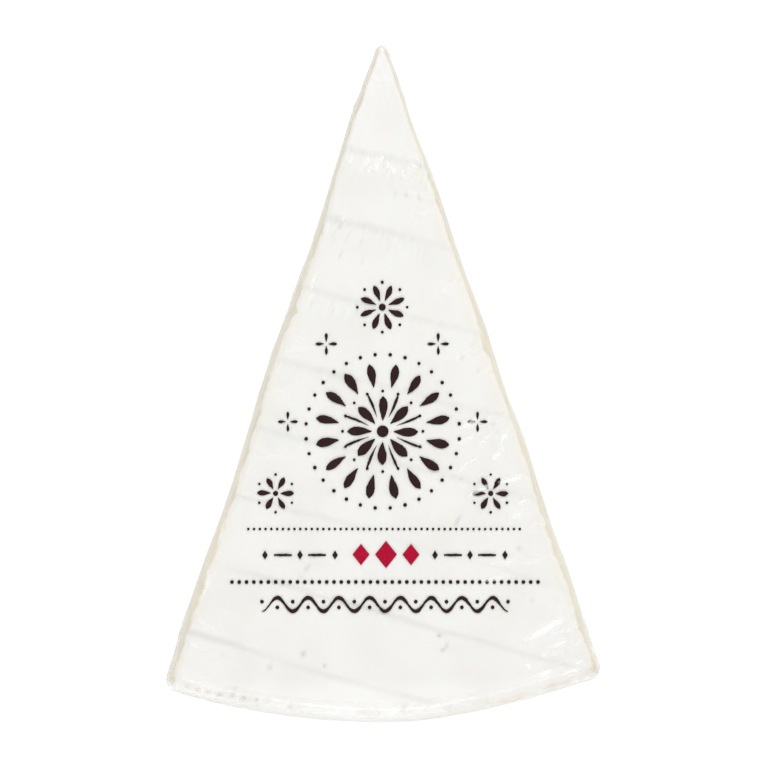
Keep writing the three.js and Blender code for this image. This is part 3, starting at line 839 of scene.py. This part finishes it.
# creases that show in the photograph: pixel from and to, half-width in mm, height in mm
filmCreases = [
    (522, 643.5, 571, 614.5, 0.62, 0.40), (548, 648.5, 570, 638, 0.42, 0.24),
    (533, 677, 555, 669.5, 0.5, 0.28), (523, 665, 533, 669, 0.45, 0.2), (572, 664, 584, 660.5, 0.35, 0.2),
    (562, 671.5, 583, 669.5, 0.35, 0.22), (540, 657, 549, 654, 0.4, 0.16),
    (459, 429.5, 479, 417.3, 0.42, 0.22), (491, 462, 505, 447.5, 0.42, 0.2),
    (499, 446, 511, 428.5, 0.42, 0.2), (465, 498.5, 497, 482.5, 0.45, 0.26),
    (494, 483.5, 529, 473.8, 0.42, 0.26), (518, 504.3, 529, 497.5, 0.38, 0.18),
    (375.5, 173, 378.5, 160, 0.4, 0.2), (380, 163, 383, 154, 0.4, 0.2), (386.5, 171, 389, 160, 0.38, 0.16),
    (392, 176, 395, 165, 0.36, 0.13), (406, 163, 419, 168.5, 0.42, 0.2), (349, 165.5, 353, 154, 0.36, 0.14),
    (341, 224, 345, 214, 0.36, 0.12), (369, 80.5, 390, 79.5, 0.35, 0.06), (371, 76, 380, 68.5, 0.35, 0.04),
    (201, 602, 212, 560, 0.32, 0.16), (214, 553, 226, 512, 0.3, 0.12), (318, 268, 309, 300, 0.3, 0.12),
    (505, 520, 530, 510, 0.38, 0.12), (470, 585, 515, 572, 0.5, 0.12), (488, 566, 520, 560, 0.4, 0.12),
]


def addClear(lines, line):  # a crease is added if it keeps off all that are already there
    share = np.linspace(0, 1, 7)
    x, y = mix(line[0], line[2], share), mix(line[1], line[3], share)
    for x0, y0, x1, y1, width, _ in lines:
        spanX, spanY = x1 - x0, y1 - y0
        along = np.clip(((x - x0) * spanX + (y - y0) * spanY) / (spanX ** 2 + spanY ** 2), 0, 1)
        away = np.hypot(x - mix(x0, x1, along), y - mix(y0, y1, along))
        if away.min() < filmShape["keepsOff"] * (width + line[4]):
            return
    lines.append(line)


def creaseLines():
    shape = filmShape
    rng, draw = chance(51, shape)
    lines = [(*fromPhoto(*crease[:2]), *fromPhoto(*crease[2:4]), *crease[4:]) for crease in filmCreases]
    # faint strained wrinkles run inwards from both cut edges
    for _ in range(shape["sideWrinkles"]):
        side = rng.choice([-1, 1])
        reach = draw("sideReach")
        x, y = reach * heading((wedge["leftAngle"] if side < 0 else wedge["rightAngle"]) * shape["sideAngle"])
        length = min(draw("sideLong"), shape["sideMost"] * reach)
        turn = math.radians(draw("sideTurn"))
        end = (x - side * length * math.cos(turn), y + length * math.sin(turn))
        addClear(lines, (x, y, *end, draw("sideWide"), draw("sideHigh")))
    for px, py, spreadX, spreadY, count, turned, longest in creaseCrowds:
        middleX, middleY = fromPhoto(px, py)
        for _ in range(count):
            x, y = middleX + spreadX * rng.uniform(-1, 1), middleY + spreadY * rng.uniform(-1, 1)
            length = draw("crowdLong") * longest
            turn = math.radians(turned + rng.normal(0, 8))
            stepX, stepY = length * math.cos(turn) / 2, length * math.sin(turn) / 2
            ends = (x - stepX, y - stepY, x + stepX, y + stepY)
            addClear(lines, (*ends, draw("crowdWide"), draw("crowdHigh")))
    return lines


creases = creaseLines()


def filmTop(x, y):  # height of the film's top: it follows the rind, but bridges its grooves and pits
    shape = filmShape
    marks = rack["depth"] * rackMarks(x, y, rack["halfWidth"] * 1.5)
    dips = marks + blotches(x, y, pits, 1.3) + 0.5 * blotches(x, y, rimDents, 1.2)
    ripple = shape["ripple"] * noise(x * 0.8 + y * 0.3, y * 0.5 - x * 0.2, shape["ripples"], 61)
    lines = shape["creaseRise"] * ridges(x, y, creases)
    return wedge["height"] + rindSwell(x, y) - shape["bridge"] * dips + ripple + lines


def cornerDistance():  # millimetres along the outline to the nearest corner
    total = lengths[-1]
    return np.min([np.abs((lengths - c + total / 2) % total - total / 2) for c in cornerPlaces], axis=0)


def wallCreases():
    # strained wrinkles on the walls, in millimetres along the outline and up: most are near corners and edges
    shape = filmShape
    rng, draw = chance(52, shape)
    lines = []
    for _ in range(shape["wallWrinkles"]):
        if rng.random() < 0.5:
            x0 = cornerPlaces[rng.integers(3)] + rng.normal(0, shape["cornerSpread"])
            z0 = rng.choice(shape["cornerUp"])
            turn = math.radians(draw("cornerTurn")) * (1 if z0 < wedge["height"] / 2 else -1)
            length = draw("cornerLong")
        else:
            x0, z0 = rng.uniform(0, lengths[-1]), draw("wallUp")
            turn, length = math.radians(rng.normal(0, shape["wallTurn"])), draw("wallLong")
        sign = rng.choice([-1, 1])
        end = (x0 + sign * length * math.cos(turn), z0 + length * math.sin(turn))
        lines.append((x0, z0, *end, draw("wallWide"), draw("wallHigh")))
    return lines


def filmValues(x, y, z, tilt, rimBand, raised, onTop, top):
    # how white, how gathered and how dull the film is at each place; the white is the film's haze, with
    # painted glints on its creases and wrinkles, a painted highlight at the rim's middle and painted light
    # near the tip
    bands = filmBands
    topX, topDown = top[..., 0], -top[..., 1]
    crease = np.clip(ridges(topX, -topDown, creases), 0, bands["creaseMost"])
    # whiter near the tip: partly the folded film's haze, partly painted light
    tipHazeAndLight = bands["tip"] * (1 - smooth(topDown, *bands["tipDown"]))
    topHazeAndGlint = bands["topLeast"] + tipHazeAndLight + bands["creaseGlintHaze"] * crease
    # the middle of the rim's edge is whitened in patches: partly frosted film, partly a painted highlight
    # where the film over the rim catches the light
    fromMiddle = np.degrees(np.arctan2(x, -y)) + bands["frostTurn"]
    frostAndHighlight = bands["frostAndHighlight"] * rimBand * bell(fromMiddle, 0, bands["frostWidth"])
    frostAndHighlight = frostAndHighlight * np.clip(0.5 + noise(around, tilt * 3, 2.6, 63), 0, 1)
    # the walls' wrinkles and the rim's ripples are whitened as painted glints
    hazeAndGlint = bodyValues(bands["wallLeast"] + frostAndHighlight + bands["wallGlintHaze"] * raised, topHazeAndGlint, bands["baseHaze"])
    # small pleats gather at the rim's upper edge, at the base and round the corners
    nearCorner = bell(cornerDistance(), 0, bands["gatherCorner"])[None, :] * (1 - onTop)
    nearBase = np.maximum(bell(z, 0, bands["gatherUp"]), nearCorner)
    gather = np.maximum(rimBand * bands["gatherRim"], nearBase)
    topGather = bands["gatherTop"] * smooth(topDown, *bands["gatherDown"])
    # where the film clings to the rim's edge it loses its gloss in patches
    patchy = np.clip(0.75 + bands["dullVaries"] * noise(around, tilt * 3, 3.1, 64), 0, 1)
    dull = bands["dull"] * np.clip(rimBand * bands["dullRim"], 0, 1) * patchy
    return {
        "hazeAndGlint": np.clip(hazeAndGlint, 0, bands["hazeMost"]),
        "gather": bodyValues(gather, topGather, bands["gatherBase"]),
        "dull": bodyValues(dull, bands["dull"] * smooth(topDown, *bands["dullDown"])),
    }


def makeFilm():
    shape = filmShape
    steps = profileSteps(*shape["steps"])
    wall, normal, rimShare, tilt = skin(steps)
    x, y, z = (wall[..., axis] for axis in range(3))
    onTop = smooth(steps, shape["topFrom"], 3)[:, None]
    rimBand = rimShare * bell(tilt, shape["rimTilt"], shape["rimWidth"])
    raised = ridges(around, z, wallCreases()) * smooth(z, *shape["wallFrom"]) * (1 - onTop)
    raised += shape["rimRipple"] * rimBand * (noise(around, tilt * 3, shape["rimRipples"], 62) + 1)
    raised = np.clip(raised, 0, shape["raisedMost"])
    flat = np.clip(filmTop(x, y) - wedge["height"] - rindSwell(x, y), *shape["dips"])
    drawnIn = shape["clings"] * rimRelief(z, tilt, rimShare) * (1 - onTop)
    out = raised + flat * smooth(tilt, *shape["dipTilt"]) - shape["lies"] - drawnIn
    points, quads, fan, top = closeBody(wall + normal * out[..., None], shape["base"], filmTop)
    values = filmValues(x, y, z, tilt, rimBand, raised, onTop, top)
    piece = makeMesh("film", filmMaterial(), points, quads, fan, values)
    return piece, BVHTree.FromPolygons(points.tolist(), quads.tolist())


# the print on the film: generic ornament, drawn with a brush

printShape = {
    "over": 0.055, "sheet": 0.012, "edge": 0.05, "edgeSize": 0.5, "strokeSteps": 4, "apart": 0.0015,
    "layers": 7,
}


def brushStroke(path, halfWidths, seed, across=printShape["strokeSteps"]):
    # a ribbon along a path: half-width is blended along it, and its edges wander a little as a brush's do
    path = np.asarray(path, float)
    count = len(path)
    step = np.gradient(path, axis=0)
    step /= np.linalg.norm(step, axis=1, keepdims=True)
    side = np.stack([-step[:, 1], step[:, 0]], axis=1)
    width = np.interp(np.linspace(0, 1, count), np.linspace(0, 1, len(halfWidths)), halfWidths)
    length = np.concatenate([[0], np.cumsum(np.linalg.norm(np.diff(path, axis=0), axis=1))])
    rows = []
    for k in range(across + 1):
        place = 2 * k / across - 1
        wander = noise(length, np.full(count, 3.0 * seed + k), printShape["edgeSize"], 71)
        wander = printShape["edge"] * wander * abs(place)
        rows.append(path + side * (place * (width + wander * np.minimum(width * 4, 1)))[:, None])
    return np.stack(rows)


def disc(x, y, radius, around=14):
    # rings of points round a centre: the centre itself, an inner ring and the edge
    turn = fullTurn * np.arange(around + 1) / around
    ring = np.stack([np.cos(turn), np.sin(turn)], axis=1)
    return np.array([x, y]) + np.array([0.0, 0.55, 1.0])[:, None, None] * radius * ring


def lozenge(x, y, width, height, steps=6):
    # a square grid turned by an eighth and stretched
    u, v = np.meshgrid(np.linspace(-1, 1, steps + 1), np.linspace(-1, 1, steps + 1))
    return np.stack([x + width / 4 * (u - v), y + height / 4 * (u + v)], axis=-1)


def filmBelow(surface, patch):  # heights of the film under every point of a patch
    above = 2 * wedge["height"]
    hits = [surface.ray_cast((x, y, above), (0, 0, -1))[0] for x, y in patch.reshape(-1, 2).tolist()]
    return np.array([hit.z if hit else np.nan for hit in hits]).reshape(patch.shape[:2])


def drape(name, surface, patches, material, over, lifts=None, white=None):
    # every patch is a grid in the plane that is laid on the film, facing up, a hair apart from its neighbours
    points, quads, values, start = [], [], [], 0
    for n, patch in enumerate(patches):
        z = filmBelow(surface, patch) + over + printShape["apart"] * (n % printShape["layers"])
        if np.isnan(z).any():
            continue
        if lifts:
            z = z + lifts[n]
            values.append(white[n].ravel())
        lower = np.concatenate([patch, z[..., None]], axis=2).reshape(-1, 3)
        number = cells(np.arange(z.size).reshape(z.shape))[:, otherWay]
        a, b, c = (lower[number[:, k], :2] for k in range(3))
        turned = ((b - a)[:, 0] * (c - b)[:, 1] - (b - a)[:, 1] * (c - b)[:, 0]).sum()
        quads.append(start + (number if turned > 0 else number[:, ::-1]))
        points.append(lower)
        start += z.size
    values = {"white": np.concatenate(values)} if lifts else None
    return makeMesh(name, material, np.concatenate(points), np.concatenate(quads), values=values)


def makePrint(name, surface, patches, ink):  # a print is as thick as its ink, downwards
    piece = drape(name, surface, patches, ink, printShape["over"])
    thick = piece.modifiers.new("thickness", "SOLIDIFY")
    thick.thickness = printShape["sheet"] * metres
    thick.offset = -1
    return piece


# the film's whitened creases: partly stress-whitened film, partly painted glints

creaseShape = {
    "over": 0.03, "along": 26, "across": 10, "widen": 1.95, "rise": 0.3, "white": 2.2, "whiteMost": 0.66,
    "ends": 1.3, "bend": 0.05, "bendSize": 2.2, "widths": (0.55, 0.8, 1.0, 1.05, 0.95, 0.75),
}


def makeCreaseGlints(surface):
    # every crease is a narrow white ridge on the film that fades out to all its edges; its white is partly
    # whitened film and partly a painted glint
    shape = creaseShape
    patches, lifts, white = [], [], []
    across = np.linspace(-1, 1, shape["across"] + 1)[:, None]
    share = np.linspace(0, 1, shape["along"])
    arch = np.sin(math.pi * share)
    fade = (1 - across ** 2) ** 2 * arch[None, :] ** shape["ends"]
    for n, (x0, y0, x1, y1, width, height) in enumerate(creases):
        length = math.hypot(x1 - x0, y1 - y0)
        wander = noise(share * shape["bendSize"], np.full(shape["along"], 5.0 * n), 1.0, 72)
        bend = shape["bend"] * length * wander * arch
        turned = np.array([y0 - y1, x1 - x0]) / length
        path = np.stack([mix(x0, x1, share), mix(y0, y1, share)], axis=1) + bend[:, None] * turned
        widths = shape["widen"] * width * np.array(shape["widths"])
        patches.append(brushStroke(path, widths, 900 + n, shape["across"]))
        lifts.append(shape["rise"] * height * fade)
        white.append(min(shape["white"] * height, shape["whiteMost"]) * fade)
    return drape("film_crease_glints", surface, patches, creaseGlintMaterial(), shape["over"], lifts, white)


# rosettes of brushed petals: place across and down, and for each ring its petals, inner and outer radius,
# half-width and the share of a step that it is turned; then rings of dots by count, radius, size and turn
rosettes = [
    {"x": 0.3, "down": 91.2, "centre": 1.35, "bend": 0.10,
     "petals": ((8, 2.5, 7.9, 1.05, 0.0), (8, 3.4, 9.6, 0.3, 0.5), (16, 10.2, 15.6, 0.98, 0.5)),
     "dots": ((16, 9.2, 0.34, 0.0), (32, 17.6, 0.42, 0.5))},
    {"x": 0.2, "down": 62.8, "centre": 0.8, "bend": 0.08,
     "petals": ((8, 1.5, 5.3, 0.66, 0.5),), "dots": ((8, 5.7, 0.34, 0.0),)},
    *({"x": x, "down": 105.4, "centre": 0.6, "bend": 0.10,
       "petals": ((6, 1.1, 4.1, 0.6, 0.5),), "dots": ((6, 4.3, 0.3, 0.0),)} for x in (-24.2, 25.0)),
]
# small marks of four petals: place across and down, reach and half-width
sparks = (
    (-12.6, 71.2, 2.5, 0.36), (13.0, 71.2, 2.5, 0.36), (-21.4, 89.0, 2.3, 0.34), (22.0, 89.0, 2.3, 0.34),
)
petalWidths = np.array([0.08, 0.35, 0.62, 0.86, 1.0, 0.97, 0.74, 0.12])


def petal(x, down, angle, inner, outer, halfWidth, bend, seed):
    # a brushed teardrop that points away from its rosette's middle, on a slightly bent path
    turn = fullTurn * angle
    along, across = np.array([math.sin(turn), math.cos(turn)]), np.array([math.cos(turn), -math.sin(turn)])
    share = np.linspace(0, 1, 22)[:, None]
    reach = inner + (outer - inner) * share
    path = np.array([x, -down]) + reach * along + bend * (outer - inner) * share * (1 - share) * across
    return brushStroke(path, petalWidths * halfWidth, seed)


def rosettePatches():
    patches = []
    rng = np.random.default_rng(81)
    for n, rosette in enumerate(rosettes):
        x, down = rosette["x"], rosette["down"]
        patches.append(disc(x, -down, rosette["centre"], 22))
        for m, (count, inner, outer, halfWidth, turned) in enumerate(rosette["petals"]):
            for k in range(count):
                angle = (k + turned + rng.normal(0, 0.012)) / count
                tip = inner + (outer - inner) * (1 + rng.normal(0, 0.025))
                width, seed = halfWidth * (1 + rng.normal(0, 0.05)), 100 * n + 40 * m + k
                patches.append(petal(x, down, angle, inner, tip, width, rosette["bend"], seed))
        for count, radius, dot, turned in rosette["dots"]:
            for k in range(count):
                dotX, dotY = radius * heading(fullTurn * (k + turned) / count)
                patches.append(disc(x + dotX, -down - dotY, dot * (1 + rng.normal(0, 0.05))))
    for x, down, reach, halfWidth in sparks:
        for k in range(4):
            patches.append(petal(x, down, k / 4, 0.45, reach, halfWidth, 0, 500 + k))
    return patches


# the rules of dots, the dark marks between them and the running wave below
rules = {
    "upper": {"py": 529, "from": 248.3, "to": 519.7, "count": 48, "radius": 0.31},
    "lower": {"py": 582, "from": 232.0, "to": 538.0, "count": 43, "radius": 0.45},
}
border = {
    "py": 604.5, "from": 262, "to": 508, "periods": 8, "height": 1.55, "halfWidth": 0.36, "swells": 0.3,
    "dot": 0.44, "dotDown": 0.42, "steps": 300, "every": 3, "endWidth": 0.2, "endRise": 16,
}
# pixels across of the dashes and the small lozenges between them
flanks = {
    "py": 555, "dashes": ((274, 292), (308, 326), (444, 462), (478, 496)),
    "dashWidths": (0.2, 0.3, 0.3, 0.2), "lozenges": (265, 300, 335, 435, 470, 505),
    "lozengeSize": (1.3, 2.1),
}
crimson = {"px": (361, 386, 411), "py": 554.5, "sizes": ((3.9, 4.9), (5.0, 6.3), (3.9, 4.9))}


def rulePatches():
    patches = []
    for rule in rules.values():
        for px in np.linspace(rule["from"], rule["to"], rule["count"]):
            patches.append(disc(*fromPhoto(px, rule["py"]), rule["radius"]))
    return patches


def borderPatches():
    # a running wave with a dot in each of its bends, and above it the dashes beside the crimson lozenges
    start, y = fromPhoto(border["from"], border["py"])
    end = fromPhoto(border["to"], border["py"])[0]
    share = np.linspace(0, 1, border["steps"])
    turn = fullTurn * border["periods"] * share
    wave = np.stack([np.linspace(start, end, border["steps"]), y - border["height"] * np.cos(turn)], axis=1)
    taper = np.minimum(1, border["endWidth"] + border["endRise"] * np.minimum(share, 1 - share))
    widths = border["halfWidth"] * (1 + border["swells"] * np.cos(2 * turn)) * taper
    patches = [brushStroke(wave, widths[::border["every"]], 60, 3)]
    period = (end - start) / border["periods"]
    for n in range(2 * border["periods"] + 1):
        away = border["dotDown"] * border["height"] * (-1) ** n
        patches.append(disc(start + n * period / 2, y + away, border["dot"]))
    for dash in flanks["dashes"]:
        (first, dashY), (last, _) = (fromPhoto(px, flanks["py"]) for px in dash)
        path = np.stack([np.linspace(first, last, 12), np.full(12, dashY)], axis=1)
        patches.append(brushStroke(path, flanks["dashWidths"], 70, 2))
    for px in flanks["lozenges"]:
        patches.append(lozenge(*fromPhoto(px, flanks["py"]), *flanks["lozengeSize"]))
    return patches


def crimsonPatches():
    places = [fromPhoto(px, crimson["py"]) for px in crimson["px"]]
    return [lozenge(*place, *size, 10) for place, size in zip(places, crimson["sizes"])]


# the print's pieces: what draws each, and its ink
prints = {
    "printed_rosettes": (rosettePatches, "dark_ink"), "printed_dotted_rules": (rulePatches, "dark_ink"),
    "printed_border": (borderPatches, "dark_ink"),
    "printed_crimson_lozenges": (crimsonPatches, "crimson_ink"),
}


# floor, lights and camera

studio = {
    "floorSize": 8.0, "floorDrop": 0.0002, "floorColour": (0.93, 0.93, 0.93), "floorGlow": 0.62,
    "glowStrength": 1.12, "horizon": 0.62, "zenith": 0.58, "lens": 500.0, "sensor": 36.0,
    "fullestHeight": 13.5, "photoWidth": 768, "seesTo": 20,
}
# each light: place in metres, what it aims at, width, height and power in watts
softLights = {
    "behind": ((0.10, 0.90, 0.95), (0, 0, 0.02), 0.62, 0.38, 8.0),
    "front": ((-0.05, -0.95, 0.64), (0, 0, 0.02), 0.9, 0.5, 4.4),
    "right": ((0.98, -0.12, 0.34), (0, 0, 0.02), 0.5, 0.22, 1.2),
    "left": ((-0.98, -0.20, 0.34), (0, 0, 0.02), 0.5, 0.22, 0.8),
}


def makeFloor():
    size, drop = studio["floorSize"] / 2, -studio["floorDrop"]
    corners = [(-size, -size, drop), (size, -size, drop), (size, size, drop), (-size, size, drop)]
    mesh = bpy.data.meshes.new("floor")
    mesh.from_pydata(corners, [], [(0, 1, 2, 3)])
    material, tree = newMaterial("pale_floor")
    matt = addNode(tree, "BsdfDiffuse", {"Color": (*studio["floorColour"], 1)})
    glow = addNode(tree, "Emission", {"Strength": studio["glowStrength"]})
    showShader(tree, mixShader(tree, studio["floorGlow"], matt, glow))
    mesh.materials.append(material)
    addObject("floor", mesh)


def aim(holder, place, target):
    gaze = np.array(target, float) - np.array(place, float)
    tilt, turn = math.acos(-gaze[2] / np.linalg.norm(gaze)), math.atan2(gaze[1], gaze[0]) - math.pi / 2
    holder.location, holder.rotation_euler = place, (tilt, 0, turn)


def makeLights():
    world = bpy.data.worlds.new("studio")
    world.use_nodes = True
    tree = world.node_tree
    back = tree.nodes["Background"]
    # the sky is brightest at the horizon and dimmer straight above, so that the film's top stays clear
    upward = addNode(tree, "SeparateXYZ", {0: addNode(tree, "TexCoord").outputs["Generated"]}).outputs["Z"]
    strength = rampNode(tree, upward, 0, 1, studio["zenith"], studio["horizon"])
    tree.links.new(strength, back.inputs["Strength"])
    back.inputs["Color"].default_value = (1, 1, 1, 1)
    bpy.context.scene.world = world
    for name, (place, target, width, height, power) in softLights.items():
        light = bpy.data.lights.new(name, "AREA")
        light.shape = "RECTANGLE"
        light.size, light.size_y, light.energy = width, height, power
        holder = addObject(name, light)
        aim(holder, place, target)
        holder.visible_camera = False


def makeCamera():
    # straight above, as far off as the lens needs for the photograph's scale at the wedge's fullest height
    camera = bpy.data.cameras.new("camera")
    camera.lens, camera.sensor_width, camera.clip_end = studio["lens"], studio["sensor"], studio["seesTo"]
    widthSeen = studio["photoWidth"] / photoPlace["pixelsPerMm"]
    height = widthSeen * studio["lens"] / studio["sensor"] + studio["fullestHeight"]
    middle = np.array(fromPhoto(photoPlace["middle"], photoPlace["middle"], 1)) - origin
    holder = addObject("camera", camera)
    holder.location = (middle[0] * metres, middle[1] * metres, height * metres)
    bpy.context.scene.camera = holder


makeCamera()
makeFloor()
makeLights()
bpy.context.scene.view_settings.view_transform = "Standard"
print("studio ready")

cheese = makeCheese()
film, filmSurface = makeFilm()
slotted = [(cheese, "rind"), (film, "film"), (makeCreaseGlints(filmSurface), "film")]
inks = {name: inkMaterial(name) for name in ("dark_ink", "crimson_ink")}
for name, (patchesOf, ink) in prints.items():
    slotted.append((makePrint(name, filmSurface, patchesOf(), inks[ink]), ink))
print("pieces ready")

for piece, slotName in slotted:
    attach(piece, "root")
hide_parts(solidNode)
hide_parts(solidNode)
